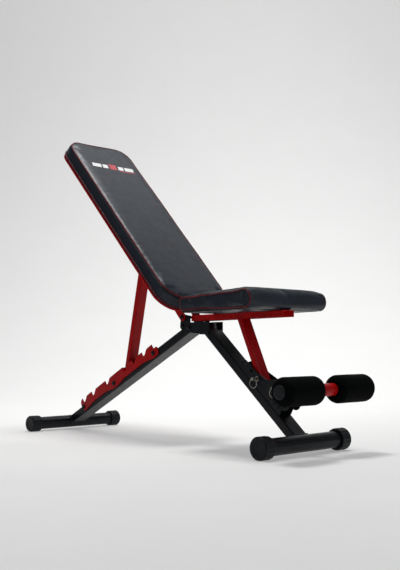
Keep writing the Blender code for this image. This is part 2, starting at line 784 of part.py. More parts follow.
def back_hinge_bracket(look):
    """A U under the rail whose two flanges run down to the back hinge."""
    top = RAIL_BOTTOM - GAP
    angle = 180.0 - BACK_ANGLES[BACK_SET]
    outline = hull(
        arc(BACK_HINGE, 0.0115, angle - 270, angle - 90, 10)
        + [BACK.at(0.045, RAIL_TOP - 0.001), BACK.at(0.120, RAIL_TOP - 0.001)]
        + [BACK.at(0.130, top - PLATE), BACK.at(0.045, -0.0100)]
    )
    near = plate("back_hinge_bracket", outline, -FLANGE_OUT, -FLANGE_IN, look)
    far = plate("back_hinge_far_flange", outline, FLANGE_IN, FLANGE_OUT, None)
    web = [BACK.at(0.062, top), BACK.at(0.062, top - PLATE), BACK.at(0.124, top - PLATE), BACK.at(0.124, top)]
    combine(near, plate("back_hinge_web", web, -FLANGE_IN - 0.001, FLANGE_IN + 0.001, None), "UNION")
    combine(near, far, "UNION")
    bore(near, BACK_HINGE, BOLT_RADIUS + GAP)
    return near


def prop_lug(name, side, look):
    """One of the two lugs under the rail that carry the prop's pivot."""
    top = RAIL_BOTTOM - GAP
    angle = 180.0 - BACK_ANGLES[BACK_SET]
    outline = hull(
        arc(PROP_PIVOT, 0.0105, angle - 270, angle - 90, 8)
        + arc(PROP_PIVOT, 0.0105, angle - 90, angle + 90, 8)
        + [BACK.at(PROP_STATION - 0.020, top), BACK.at(PROP_STATION + 0.020, top)]
    )
    outline = [point for point in outline if BACK.locate(point)[1] <= top + 1e-6]
    inner = PROP_WIDTH / 2 + SIDE_PLAY
    ys = sorted((side * inner, side * (inner + PLATE)))
    made = plate(name, outline, ys[0], ys[1], look)
    bore(made, PROP_PIVOT, BOLT_RADIUS + GAP)
    return made


# ---------------------------------------------------------------- prop

def between(top, foot):
    """A side frame that runs from top to foot."""
    run = Vector(foot) - Vector(top)
    return SideFrame(top, math.degrees(math.atan2(run.y, run.x)))


def round_end(target, centre, frame, station, depth, outward):
    """Rounds a tube's end about a pin."""
    half = depth / 2
    margin = 0.006
    angle = math.degrees(math.atan2(frame.along.y, frame.along.x))
    if outward < 0:
        angle += 180
    points = [tuple(Vector(centre) + rotated(angle + 90) * (half + margin))]
    points += arc(centre, half, angle + 90, angle - 90, 10)
    points.append(tuple(Vector(centre) + rotated(angle - 90) * (half + margin)))
    reach = half + 0.02
    points.append(tuple(Vector(centre) + rotated(angle - 90) * (half + margin) + rotated(angle) * reach))
    points.append(tuple(Vector(centre) + rotated(angle + 90) * (half + margin) + rotated(angle) * reach))
    slot(target, points)


def prop_tube(look):
    """The backrest's prop: a rectangular tube, round at its pivot and its foot."""
    frame = between(PROP_PIVOT, PROP_FOOT)
    half = PROP_DEPTH / 2
    made = box_tube("prop_tube", frame, -half, PROP_LENGTH + half, PROP_WIDTH, PROP_DEPTH, STRUT_WALL, look)
    round_end(made, PROP_PIVOT, frame, 0, PROP_DEPTH, -1)
    round_end(made, PROP_FOOT, frame, PROP_LENGTH, PROP_DEPTH, 1)
    bore(made, PROP_PIVOT, BOLT_RADIUS + GAP)
    bore(made, PROP_FOOT, PROP_PIN_RADIUS + GAP)
    return made


def prop_foot_pin(look):
    """The cross pin that drops into the rack's notches."""
    end = RACK_OUT + PROP_PIN_OVERHANG
    rim = PROP_PIN_RADIUS - 0.001
    profile = [
        (0, -end), (rim, -end), (PROP_PIN_RADIUS, -end + 0.001),
        (PROP_PIN_RADIUS, end - 0.001), (rim, end), (0, end),
    ]
    return turned("prop_foot_pin", profile, PROP_FOOT, look, 20)


# ---------------------------------------------------------------- seat

def seat_channel(look):
    """An inverted channel under the seat, pivoted at its rear end."""
    half = CHANNEL_WIDTH / 2
    inner = half - CHANNEL_WALL
    top = CHANNEL_HEIGHT
    section = [
        (-half, 0), (-half, top - 0.0015), (-half + 0.0015, top), (half - 0.0015, top), (half, top - 0.0015),
        (half, 0), (inner, 0), (inner, top - CHANNEL_WALL), (-inner, top - CHANNEL_WALL), (-inner, 0),
    ]
    shape = bmesh.new()
    ends = []
    for along in (0.0, CHANNEL_LENGTH):
        ring = []
        for y, across in section:
            x, z = SEAT.at(along, across)
            ring.append(shape.verts.new((x, y, z)))
        ends.append(ring)
    shape.faces.new(ends[0])
    shape.faces.new(ends[1])
    for index in range(len(section)):
        onward = (index + 1) % len(section)
        shape.faces.new((ends[0][index], ends[0][onward], ends[1][onward], ends[1][index]))
    made = finish("seat_channel", shape, look)
    bore(made, SEAT_PIVOT, BOLT_RADIUS + GAP)
    bore(made, STRUT_TOP, BOLT_RADIUS + GAP)
    return made


def seat_side(top_rear, top_front, bottom, front_depth, start, end):
    """The seat's side outline as (along, height) points, with a rolled front."""
    low = bottom - SEAT_ROLL_DROP
    nose = (end - front_depth, (low + top_front) / 2)
    roll = (top_front - low) / 2
    points = [(start, bottom + 0.004), (start + 0.004, bottom), (nose[0] - 0.0002, bottom)]
    for step in range(13):
        turn = math.radians(-90 + 180 * step / 12)
        points.append((nose[0] + front_depth * math.cos(turn), nose[1] + roll * math.sin(turn)))
    points += [(start + 0.009, top_rear), (start + 0.002, top_rear - 0.003), (start, top_rear - 0.010)]
    return points


def seat_pad(look):
    """The cushion: one side profile carried across, with its sides tucked in a little."""
    start = (SEAT_START_X - CHANNEL_START[0])
    bottom = CHANNEL_HEIGHT + GAP + SEAT_BOARD_THICKNESS + GAP
    outline = seat_side(bottom + SEAT_PAD_REAR, bottom + SEAT_PAD_FRONT, bottom, SEAT_ROLL, start, start + SEAT_LENGTH)
    middle = Vector((start + SEAT_LENGTH / 2, bottom + SEAT_PAD_REAR / 2))
    half = SEAT_WIDTH / 2
    shape = bmesh.new()
    rings = []
    for y, shrink in ((-half, 0.003), (-half + 0.003, 0.0), (half - 0.003, 0.0), (half, 0.003)):
        ring = []
        for point in outline:
            offset = Vector(point) - middle
            pulled = Vector((
                offset.x - math.copysign(shrink, offset.x),
                offset.y - math.copysign(shrink, offset.y),
            )) + middle
            x, z = SEAT.at(pulled.x, pulled.y)
            ring.append(shape.verts.new((x, y, z)))
        rings.append(ring)
    shape.faces.new(rings[0])
    shape.faces.new(rings[-1])
    for low, high in zip(rings, rings[1:]):
        for index in range(len(low)):
            onward = (index + 1) % len(low)
            shape.faces.new((low[index], low[onward], high[onward], high[index]))
    return finish("seat_pad", shape, look)


def seat_board(look):
    start = SEAT_START_X - CHANNEL_START[0] + 0.004
    end = start + SEAT_LENGTH - SEAT_ROLL - 0.0055
    low = CHANNEL_HEIGHT + GAP
    outline = panel_outline(start, end, SEAT_WIDTH - 0.012, 0.010, 0.010)
    return slab("seat_board", SEAT, outline, [(low, 0.0), (low + SEAT_BOARD_THICKNESS, 0.0)], look)


def flush_pin(name, centre, look):
    """A riveted pin that ends flush with the channel's sides."""
    half = CHANNEL_WIDTH / 2
    return turned(name, [(0, -half), (BOLT_RADIUS, -half), (BOLT_RADIUS, half), (0, half)], centre, look, 18)


def seat_strut(look):
    """The strut from the seat channel to the adjuster plates, slotted at its foot."""
    frame = between(STRUT_TOP, STRUT_FOOT)
    length = (Vector(STRUT_FOOT) - Vector(STRUT_TOP)).length
    made = box_tube(
        "seat_strut", frame, -STRUT_DEPTH / 2 + 0.0012, length + 0.0105,
        STRUT_WIDTH, STRUT_DEPTH, STRUT_WALL, look,
    )
    round_end(made, STRUT_TOP, frame, 0, STRUT_DEPTH - 0.002, -1)
    bore(made, STRUT_TOP, BOLT_RADIUS + GAP)
    seat = HITCH_RADIUS + GAP
    angle = math.degrees(math.atan2(frame.along.y, frame.along.x))
    mouth = arc(STRUT_FOOT, seat, angle + 90, angle + 270, 8)
    mouth += [frame.at(length + 0.02, -seat - 0.0012), frame.at(length + 0.02, seat + 0.0012)]
    slot(made, mouth)
    return made


# ---------------------------------------------------------------- leg hold

def hold_stem(look):
    """The leg hold's stem: slides in its socket along a slot that the hitch pin crosses."""
    end = HOLD_AXIS[0]
    made = box_tube("hold_stem", stem_frame(), STEM_TAIL_X, end, STEM_WIDTH, STEM_DEPTH, LEG_WALL, look)
    bore(made, HOLD_AXIS, CROSSBAR_RADIUS + GAP)
    seat = HITCH_RADIUS + GAP
    tail = (STEM_PIN_X - HOLD_TRAVEL, HOLD_AXIS[1])
    slot(made, arc(STEM_PIN, seat, -90, 90, 8) + arc(tail, seat, 90, 270, 8))
    return made


def hold_crossbar(look):
    """A turned bar across the stem, thinner where the rollers run."""
    shoulder = HOLD_SPACING / 2 - ROLLER_LENGTH / 2 - GAP - 0.001
    end = HOLD_SPACING / 2 + ROLLER_LENGTH / 2
    inner = SPINDLE_RADIUS - CROSSBAR_WALL
    profile = [
        (inner, -end), (SPINDLE_RADIUS, -end), (SPINDLE_RADIUS, -shoulder - 0.001),
        (CROSSBAR_RADIUS - 0.001, -shoulder - 0.001), (CROSSBAR_RADIUS, -shoulder),
        (CROSSBAR_RADIUS, shoulder), (CROSSBAR_RADIUS - 0.001, shoulder + 0.001),
        (SPINDLE_RADIUS, shoulder + 0.001), (SPINDLE_RADIUS, end), (inner, end),
    ]
    return turned("hold_crossbar", profile, HOLD_AXIS, look)


def foam_roller(name, side, look):
    """A foam sleeve with rounded ends."""
    middle = side * HOLD_SPACING / 2
    half = ROLLER_LENGTH / 2
    bore_radius = SPINDLE_RADIUS + 0.0008
    profile = [(bore_radius, -half), (ROLLER_RADIUS - ROLLER_ROUNDING, -half)]
    for step in range(1, 5):
        turn = math.radians(90 * step / 4)
        profile.append((
            ROLLER_RADIUS - ROLLER_ROUNDING + ROLLER_ROUNDING * math.sin(turn),
            -half + ROLLER_ROUNDING - ROLLER_ROUNDING * math.cos(turn),
        ))
    mirrored = [(radius, -y) for radius, y in reversed(profile)]
    points = [(radius, middle + y) for radius, y in profile + mirrored]
    return turned(name, points, HOLD_AXIS, look, 28)


def roller_plug(name, side, look):
    """The plastic plug that keeps a roller on the bar."""
    face = HOLD_SPACING / 2 + ROLLER_LENGTH / 2 + GAP
    inner = SPINDLE_RADIUS - CROSSBAR_WALL - GAP
    profile = [
        (0, face - 0.012), (inner, face - 0.012), (inner, face), (0.0185, face),
        (0.0185, face + 0.0015), (0.014, face + 0.0030), (0, face + 0.0034),
    ]
    return turned(name, [(radius, side * y) for radius, y in profile], HOLD_AXIS, look, 24)


# ---------------------------------------------------------------- hitch pins

def hitch_pin(name, centre, look):
    """A pull pin with a collar, and an eye through its head for the ring."""
    y_face = -ADJUST_OUT - GAP
    head_end = y_face - HITCH_GRIP
    tip = ADJUST_OUT + 0.008
    profile = [
        (0, head_end), (0.0038, head_end), (0.0048, head_end + 0.001), (0.0048, y_face - 0.003),
        (0.0072, y_face - 0.003), (0.0072, y_face), (HITCH_RADIUS, y_face),
        (HITCH_RADIUS, tip - 0.003), (HITCH_RADIUS * 0.5, tip), (0, tip),
    ]
    made = turned(name, profile, centre, look, 20)
    shape = bmesh.new()
    bmesh.ops.create_cone(
        shape, cap_ends=True, segments=14, radius1=RING_EYE, radius2=RING_EYE, depth=0.05,
    )
    bmesh.ops.rotate(shape, verts=shape.verts, matrix=Matrix.Rotation(math.pi / 2, 3, "Y"))
    bmesh.ops.translate(shape, verts=shape.verts, vec=(centre[0], head_end + 0.0058, centre[1]))
    combine(made, finish("eye_" + name, shape, None), "DIFFERENCE")
    return made


def hitch_ring(name, centre, look):
    """A wire ring that hangs through the hitch pin's eye, in the XZ plane."""
    shape = bmesh.new()
    y_eye = -ADJUST_OUT - GAP - HITCH_GRIP + 0.0058
    middle = Vector((centre[0], y_eye, centre[1] - RING_RADIUS + RING_LIFT))
    around = 22
    wire = 6
    rings = []
    for step in range(around):
        turn = 2 * math.pi * step / around
        outward = Vector((math.sin(turn), 0, math.cos(turn)))
        ring = []
        for side in range(wire):
            swing = 2 * math.pi * side / wire
            offset = outward * math.cos(swing) + Vector((0, 1, 0)) * math.sin(swing)
            ring.append(shape.verts.new(middle + outward * RING_RADIUS + offset * RING_WIRE))
        rings.append(ring)
    for index, ring in enumerate(rings):
        following = rings[(index + 1) % around]
        for side in range(wire):
            onward = (side + 1) % wire
            shape.faces.new((ring[side], ring[onward], following[onward], following[side]))
    return finish(name, shape, look)


# ---------------------------------------------------------------- assembly

def group(name, centre, y, parts, parent=None):
    """Parents the parts of one moving body to an empty on its joint axis."""
    pivot = Vector((centre[0], y, centre[1]))
    empty = bpy.data.objects.new(name, None)
    empty.empty_display_size = 0.03
    bpy.context.scene.collection.objects.link(empty)
    empty.location = pivot - (parent.matrix_world.translation if parent else Vector())
    empty.parent = parent
    bpy.context.view_layer.update()
    for part in parts:
        part.parent = empty
        part.location = -pivot
    bpy.context.view_layer.update()
    return empty


def clear_scene():
    for made in list(bpy.data.objects):
        bpy.data.objects.remove(made, do_unlink=True)


def main():
    clear_scene()
    black = black_paint()
    red = red_paint()
    plated = zinc()
    dark = black_oxide()
    plastic = cap_plastic()
    leatherette = vinyl()
    sponge = foam()

    frame_parts = [
        front_leg(black),
        foot_tube("front_foot", FRONT_FOOT, FRONT_FOOT_LENGTH, FRONT_FOOT_RADIUS, black),
        hinge_bracket(black),
        stem_socket(black),
    ]
    rear_parts = [
        rear_leg(black),
        foot_tube("rear_foot", REAR_FOOT, REAR_FOOT_LENGTH, REAR_FOOT_RADIUS, black),
    ]
    for label, side in (("near", -1), ("far", 1)):
        frame_parts += [
            foot_cap("front_cap_" + label, FRONT_FOOT, FRONT_FOOT_LENGTH, FRONT_FOOT_RADIUS,
                     FRONT_CAP_RADIUS, side, plastic),
            cheek("head_cheek_" + label, side, black),
            seat_lug("seat_lug_" + label, side, black),
            adjuster_plate("adjuster_plate_" + label, side, black),
        ]
        rear_parts += [
            foot_cap("rear_cap_" + label, REAR_FOOT, REAR_FOOT_LENGTH, REAR_FOOT_RADIUS,
                     REAR_CAP_RADIUS, side, plastic),
            rack("rack_" + label, side, red),
        ]
    frame_parts += bolt_and_nut("rear_pivot", REAR_PIVOT, EAR_OUT, dark)
    frame_parts += bolt_and_nut("fold_stop", stop_place(), EAR_OUT, dark)
    frame_parts += bolt_and_nut("back_hinge", BACK_HINGE, FLANGE_OUT, dark)
    for index, centre in enumerate(tie_places()):
        frame_parts.append(bolt("adjuster_bolt_%d" % (index + 1), centre, -ADJUST_OUT - GAP, ADJUST_OUT + 0.004, dark))
    for index, station in enumerate(RACK_BOLT_STATIONS):
        rear_parts += bolt_and_nut("rack_%d" % (index + 1), rack_bolt_place(station), RACK_OUT, dark)

    back_parts = [back_board(red), back_pad(leatherette), back_rail(red), rail_plug(plastic), back_hinge_bracket(red)]
    back_parts += [prop_lug("prop_lug_near", -1, red), prop_lug("prop_lug_far", 1, red)]
    back_parts += bolt_and_nut("prop_pivot", PROP_PIVOT, PROP_WIDTH / 2 + SIDE_PLAY + PLATE, dark)
    prop_parts = [prop_tube(red), prop_foot_pin(red)]
    seat_parts = [seat_channel(red), seat_board(plastic), seat_pad(leatherette)]
    seat_parts += [flush_pin("seat_pivot_pin", SEAT_PIVOT, red), flush_pin("strut_pivot_pin", STRUT_TOP, red)]
    strut_parts = [seat_strut(red)]
    hold_parts = [hold_stem(red), hold_crossbar(red)]
    hold_parts += [roller_plug("roller_plug_near", -1, plastic), roller_plug("roller_plug_far", 1, plastic)]

    y_eye = -ADJUST_OUT - GAP - HITCH_GRIP + 0.0058
    group("front_frame", FRONT_FOOT, 0, frame_parts)
    group("rear_fold", REAR_PIVOT, 0, rear_parts)
    back = group("back_recline", BACK_HINGE, 0, back_parts)
    group("prop_swing", PROP_PIVOT, 0, prop_parts, back)
    seat = group("seat_tilt", SEAT_PIVOT, 0, seat_parts)
    group("strut_swing", STRUT_TOP, 0, strut_parts, seat)
    hold = group("hold_slide", STEM_PIN, 0, hold_parts)
    for label, side in (("near", -1), ("far", 1)):
        roller = foam_roller("foam_roller_" + label, side, sponge)
        group("roller_spin_" + label, HOLD_AXIS, side * HOLD_SPACING / 2, [roller], hold)
    for label, centre in (("strut", STRUT_FOOT), ("hold", STEM_PIN)):
        pin = group(label + "_pin_pull", centre, 0, [hitch_pin(label + "_hitch_pin", centre, plated)])
        ring = hitch_ring(label + "_hitch_ring", centre, plated)
        group(label + "_ring_swing", centre, y_eye, [ring], pin)


main()
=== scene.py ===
"""Looks of the adjustable weight bench: finishes, upholstery, foam, welds and the studio."""

import json
import logging
import math
from dataclasses import dataclass
from enum import Enum
from typing import Callable, Dict, List, Optional, Sequence, Tuple

import bmesh
import bpy
import numpy as np
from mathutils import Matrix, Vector, noise
from mathutils.bvhtree import BVHTree


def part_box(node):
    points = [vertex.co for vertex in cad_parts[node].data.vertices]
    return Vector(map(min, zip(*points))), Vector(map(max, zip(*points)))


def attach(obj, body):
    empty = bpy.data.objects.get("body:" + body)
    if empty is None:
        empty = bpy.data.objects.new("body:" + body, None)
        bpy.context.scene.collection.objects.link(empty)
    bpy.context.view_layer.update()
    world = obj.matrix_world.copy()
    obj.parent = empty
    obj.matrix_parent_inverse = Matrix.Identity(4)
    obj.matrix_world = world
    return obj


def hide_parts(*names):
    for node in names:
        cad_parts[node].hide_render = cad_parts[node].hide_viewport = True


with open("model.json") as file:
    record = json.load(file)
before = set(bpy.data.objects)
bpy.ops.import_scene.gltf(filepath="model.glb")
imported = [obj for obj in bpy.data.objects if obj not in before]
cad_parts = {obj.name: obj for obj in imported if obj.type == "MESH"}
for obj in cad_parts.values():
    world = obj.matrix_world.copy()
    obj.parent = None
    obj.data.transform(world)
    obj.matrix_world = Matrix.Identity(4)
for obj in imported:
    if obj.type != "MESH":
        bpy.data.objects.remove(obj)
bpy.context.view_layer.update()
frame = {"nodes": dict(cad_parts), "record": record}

logging.basicConfig(level=logging.INFO, format="%(message)s")
LOG = logging.getLogger("bench")
MM = 0.001
Colour = Tuple[float, float, float, float]
NODES: Dict[str, bpy.types.Object] = frame["nodes"]


def linear(code: str) -> Colour:
    """Turns a hex sRGB colour into linear light.

    Args:
        code: Six hex digits, with or without a leading #.

    Returns:
        The linear red, green, blue and an alpha of one.
    """
    digits = code.lstrip("#")
    parts = [int(digits[i : i + 2], 16) / 255 for i in (0, 2, 4)]
    low = [p / 12.92 if p <= 0.04045 else ((p + 0.055) / 1.055) ** 2.4 for p in parts]
    return (low[0], low[1], low[2], 1.0)


# ------------------------------------------------------------------ materials


class Grain(Enum):
    """The fine relief of a surface."""

    PEEL = "peel"
    HIDE = "hide"
    PORES = "pores"
    SPARK = "spark"
    WOVEN = "woven"


def add_node(
    tree: bpy.types.NodeTree, kind: str, values: Optional[Dict[str, object]] = None, **props: object
) -> bpy.types.Node:
    """Adds a shader node.

    Args:
        tree: The material's node tree.
        kind: The node's type name.
        values: Socket name to constant value.
        **props: Properties to set on the node.

    Returns:
        The new node.
    """
    made = tree.nodes.new(kind)
    for key, value in props.items():
        setattr(made, key, value)
    for key, value in (values or {}).items():
        made.inputs[key].default_value = value
    return made


@dataclass(frozen=True)
class Finish:
    """One real finish, built as a Principled material.

    Attributes:
        name: Material and process.
        hue: Main colour as hex sRGB.
        shade: Colour of its darker or dustier patches.
        rough: Lowest and highest roughness.
        grain: Kind of fine relief.
        grain_mm: Size of one grain.
        depth_mm: Height of the relief.
        wave_mm: Size of the broad unevenness.
        wave_depth_mm: Height of the broad unevenness.
        metal: Metallic value.
        ior: Index of refraction.
        coat: Clear coat weight.
        coat_rough: Clear coat roughness.
        dust: How much pale dust lies on upward faces.
        glow: Strength of its own even light.
        gleam: Strength of the bare surface's own reflection.
    """

    name: str
    hue: str
    shade: str
    rough: Tuple[float, float]
    grain: Grain
    grain_mm: float
    depth_mm: float
    wave_mm: float = 40.0
    wave_depth_mm: float = 0.0
    metal: float = 0.0
    ior: float = 1.5
    coat: float = 0.0
    coat_rough: float = 0.1
    dust: float = 0.0
    glow: float = 0.0
    gleam: float = 0.5

    def relief(self, tree: bpy.types.NodeTree, place) -> object:
        """Builds the fine relief's height.

        Args:
            tree: The material's node tree.
            place: The texture coordinate socket.

        Returns:
            The height socket.
        """
        scale = 1.0 / (self.grain_mm * MM)
        if self.grain in (Grain.HIDE, Grain.PORES):
            cells = add_node(tree, "ShaderNodeTexVoronoi", {"Scale": scale, "Randomness": 0.9})
            cells.feature = "DISTANCE_TO_EDGE" if self.grain is Grain.HIDE else "F1"
            tree.links.new(place, cells.inputs["Vector"])
            full = 0.35 if self.grain is Grain.HIDE else 0.6
            ramp = add_node(tree, "ShaderNodeMapRange", {"From Max": full})
            tree.links.new(cells.outputs["Distance"], ramp.inputs["Value"])
            return ramp.outputs["Result"]
        if self.grain is Grain.WOVEN:
            weave = add_node(tree, "ShaderNodeTexWave", {"Scale": scale / 6.28, "Distortion": 1.0})
            tree.links.new(place, weave.inputs["Vector"])
            return weave.outputs["Fac"]
        detail = 2.0 if self.grain is Grain.PEEL else 6.0
        specks = add_node(tree, "ShaderNodeTexNoise", {"Scale": scale, "Detail": detail, "Roughness": 0.55})
        tree.links.new(place, specks.inputs["Vector"])
        return specks.outputs["Fac"]

    def build(self) -> bpy.types.Material:
        """Builds the material.

        Returns:
            The new material.
        """
        made = bpy.data.materials.new(self.name)
        made.use_nodes = True
        tree = made.node_tree
        shader = tree.nodes["Principled BSDF"]
        for key, value in (
            ("Metallic", self.metal),
            ("IOR", self.ior),
            ("Specular IOR Level", self.gleam),
            ("Coat Weight", self.coat),
            ("Coat Roughness", self.coat_rough),
            ("Emission Strength", self.glow),
        ):
            shader.inputs[key].default_value = value
        made.diffuse_color = linear(self.hue)
        place = add_node(tree, "ShaderNodeTexCoord").outputs["Object"]
        broad = add_node(
            tree, "ShaderNodeTexNoise", {"Scale": 1.0 / (self.wave_mm * MM), "Detail": 4.0, "Roughness": 0.6}
        )
        tree.links.new(place, broad.inputs["Vector"])
        patches = add_node(tree, "ShaderNodeMapRange", {"From Min": 0.35, "From Max": 0.7})
        tree.links.new(broad.outputs["Fac"], patches.inputs["Value"])
        tint = add_node(tree, "ShaderNodeMix", data_type="RGBA")
        tint.inputs["A"].default_value = linear(self.hue)
        tint.inputs["B"].default_value = linear(self.shade)
        tree.links.new(patches.outputs["Result"], tint.inputs["Factor"])
        colour = tint.outputs["Result"]
        if self.dust > 0:
            colour = self.dusted(tree, place, colour)
        tree.links.new(colour, shader.inputs["Base Color"])
        gloss = add_node(tree, "ShaderNodeMapRange", {"To Min": self.rough[0], "To Max": self.rough[1]})
        gloss.inputs["From Min"].default_value = 0.3
        gloss.inputs["From Max"].default_value = 0.7
        smear_scale = 1.0 / (self.wave_mm * 0.3 * MM)
        smears = add_node(tree, "ShaderNodeTexNoise", {"Scale": smear_scale, "Detail": 5.0})
        tree.links.new(place, smears.inputs["Vector"])
        tree.links.new(smears.outputs["Fac"], gloss.inputs["Value"])
        tree.links.new(gloss.outputs["Result"], shader.inputs["Roughness"])
        fine = add_node(tree, "ShaderNodeBump", {"Strength": 1.0, "Distance": self.depth_mm * MM})
        tree.links.new(self.relief(tree, place), fine.inputs["Height"])
        if self.wave_depth_mm > 0:
            wave = add_node(tree, "ShaderNodeBump", {"Strength": 1.0, "Distance": self.wave_depth_mm * MM})
            tree.links.new(broad.outputs["Fac"], wave.inputs["Height"])
            tree.links.new(wave.outputs["Normal"], fine.inputs["Normal"])
        tree.links.new(fine.outputs["Normal"], shader.inputs["Normal"])
        return made

    def dusted(self, tree: bpy.types.NodeTree, place, colour):
        """Lays a faint pale dust on faces that look up.

        Args:
            tree: The material's node tree.
            place: The texture coordinate socket.
            colour: The colour socket under the dust.

        Returns:
            The dusted colour socket.
        """
        facing = add_node(tree, "ShaderNodeNewGeometry")
        split = add_node(tree, "ShaderNodeSeparateXYZ")
        tree.links.new(facing.outputs["Normal"], split.inputs["Vector"])
        specks = add_node(tree, "ShaderNodeTexNoise", {"Scale": 160.0, "Detail": 8.0, "Roughness": 0.7})
        tree.links.new(place, specks.inputs["Vector"])
        thin = add_node(tree, "ShaderNodeMapRange", {"From Min": 0.5, "From Max": 0.85, "To Max": self.dust})
        tree.links.new(specks.outputs["Fac"], thin.inputs["Value"])
        amount = add_node(tree, "ShaderNodeMath", operation="MULTIPLY", use_clamp=True)
        tree.links.new(split.outputs["Z"], amount.inputs[0])
        tree.links.new(thin.outputs["Result"], amount.inputs[1])
        laid = add_node(tree, "ShaderNodeMix", data_type="RGBA")
        laid.inputs["B"].default_value = linear("#8d8a86")
        tree.links.new(amount.outputs["Value"], laid.inputs["Factor"])
        tree.links.new(colour, laid.inputs["A"])
        return laid.outputs["Result"]


class Shop:
    """Every finish on the bench and in the studio, each built once."""

    FINISHES = {
        # Satin black that still mirrors the pale floor softly, with a fine orange peel.
        "black_paint": Finish("steel, satin black powder coat", "#0c0e12", "#12151a", (0.26, 0.38),
                              Grain.PEEL, 1.6, 0.012, 60, 0.05,
                              coat=0.06, coat_rough=0.20, dust=0.01, gleam=0.14),
        # Deep glossy red with a wetter clear film than the black.
        "red_paint": Finish("steel, gloss red powder coat", "#aa080c", "#92060a", (0.24, 0.34),
                            Grain.PEEL, 1.8, 0.012, 60, 0.05,
                            coat=0.06, coat_rough=0.12, dust=0.01, gleam=0.10),
        # Pale soft-edged reflections with a sparkle from the plated grain.
        "zinc": Finish("steel, bright zinc plate", "#a6a49a", "#85837a", (0.22, 0.38),
                       Grain.SPARK, 0.5, 0.010, 12, 0.0, metal=1.0),
        # Nearly black metal whose rims catch a thin light.
        "fastener": Finish("steel, black oxide", "#24252a", "#15161a", (0.28, 0.42),
                           Grain.SPARK, 0.4, 0.008, 8, 0.0, metal=0.85),
        # Dull, finely sparked moulding with broad sink marks.
        "plastic": Finish("polypropylene, spark-eroded mould", "#0f1114", "#16191d", (0.40, 0.52),
                          Grain.SPARK, 0.45, 0.020, 25, 0.04, dust=0.02, gleam=0.16),
        # Hide-like pebbles over soft foam: broad satin highlights that break along creases.
        "leatherette": Finish("PVC leatherette, embossed", "#0e1620", "#131d29", (0.36, 0.48),
                              Grain.HIDE, 1.5, 0.045, 70, 0.30,
                              ior=1.52, coat=0.04, coat_rough=0.30, gleam=0.24),
        # The same cover cut in dark red for the welts.
        "welt": Finish("PVC leatherette, red welt", "#66101a", "#4e0b13", (0.35, 0.5),
                       Grain.HIDE, 0.9, 0.030, 20, 0.1, gleam=0.2),
        # Light-drinking closed cells with a faint skin.
        "foam": Finish("NBR foam, skinned", "#030404", "#060707", (0.66, 0.82),
                       Grain.PORES, 0.9, 0.10, 18, 0.5, gleam=0.03),
        # Bonded black fibre that covers the boards' backs.
        "scrim": Finish("polypropylene non-woven scrim", "#0f1011", "#17181a", (0.85, 0.95),
                        Grain.WOVEN, 1.0, 0.05),
        # Overlapping scales of cooled weld metal under the paint.
        "weld": Finish("weld metal, powder coated", "#14161a", "#1c1e24", (0.32, 0.45),
                       Grain.PEEL, 1.2, 0.05, 8, 0.3, coat=0.1, coat_rough=0.25, gleam=0.22),
        # Thin pigment pressed onto the cover, a little glossier than the hide.
        "print_white": Finish("screen print, white", "#d8d8d6", "#c8c8c6", (0.35, 0.45),
                              Grain.PEEL, 1.0, 0.01),
        "print_red": Finish("screen print, red", "#a8202a", "#98141f", (0.35, 0.45),
                            Grain.PEEL, 1.0, 0.01),
        # Seamless studio paper.
        "paper": Finish("studio paper, matt", "#c9c9c7", "#c7c7c5", (0.75, 0.85),
                        Grain.SPARK, 1.0, 0.005, 300, glow=0.27),
    }

    def __init__(self) -> None:
        self.built: Dict[str, bpy.types.Material] = {}

    def get(self, key: str) -> bpy.types.Material:
        """Returns a finish's material, building it at first use.

        Args:
            key: The finish's key.

        Returns:
            The material.
        """
        if key not in self.built:
            self.built[key] = self.FINISHES[key].build()
        return self.built[key]

    def dress(self, piece: bpy.types.Object, key: str) -> None:
        """Gives a piece one finish.

        Args:
            piece: A mesh object.
            key: The finish's key.
        """
        piece.data.materials.clear()
        piece.data.materials.append(self.get(key))


# ------------------------------------------------------------------ mesh tools


def new_piece(name: str, verts: Sequence, faces: Sequence, smooth: bool = True) -> bpy.types.Object:
    """Makes a mesh object.

    Args:
        name: The object's name.
        verts: Points in metres.
        faces: Index tuples.
        smooth: Whether to shade it smooth.

    Returns:
        The linked object.
    """
    mesh = bpy.data.meshes.new(name)
    mesh.from_pydata([tuple(v) for v in verts], [], [tuple(f) for f in faces])
    mesh.validate()
    made = bpy.data.objects.new(name, mesh)
    bpy.context.scene.collection.objects.link(made)
    shape = bmesh.new()
    shape.from_mesh(mesh)
    bmesh.ops.recalc_face_normals(shape, faces=shape.faces)
    shape.to_mesh(mesh)
    shape.free()
    if smooth:
        mesh.shade_smooth()
    return made


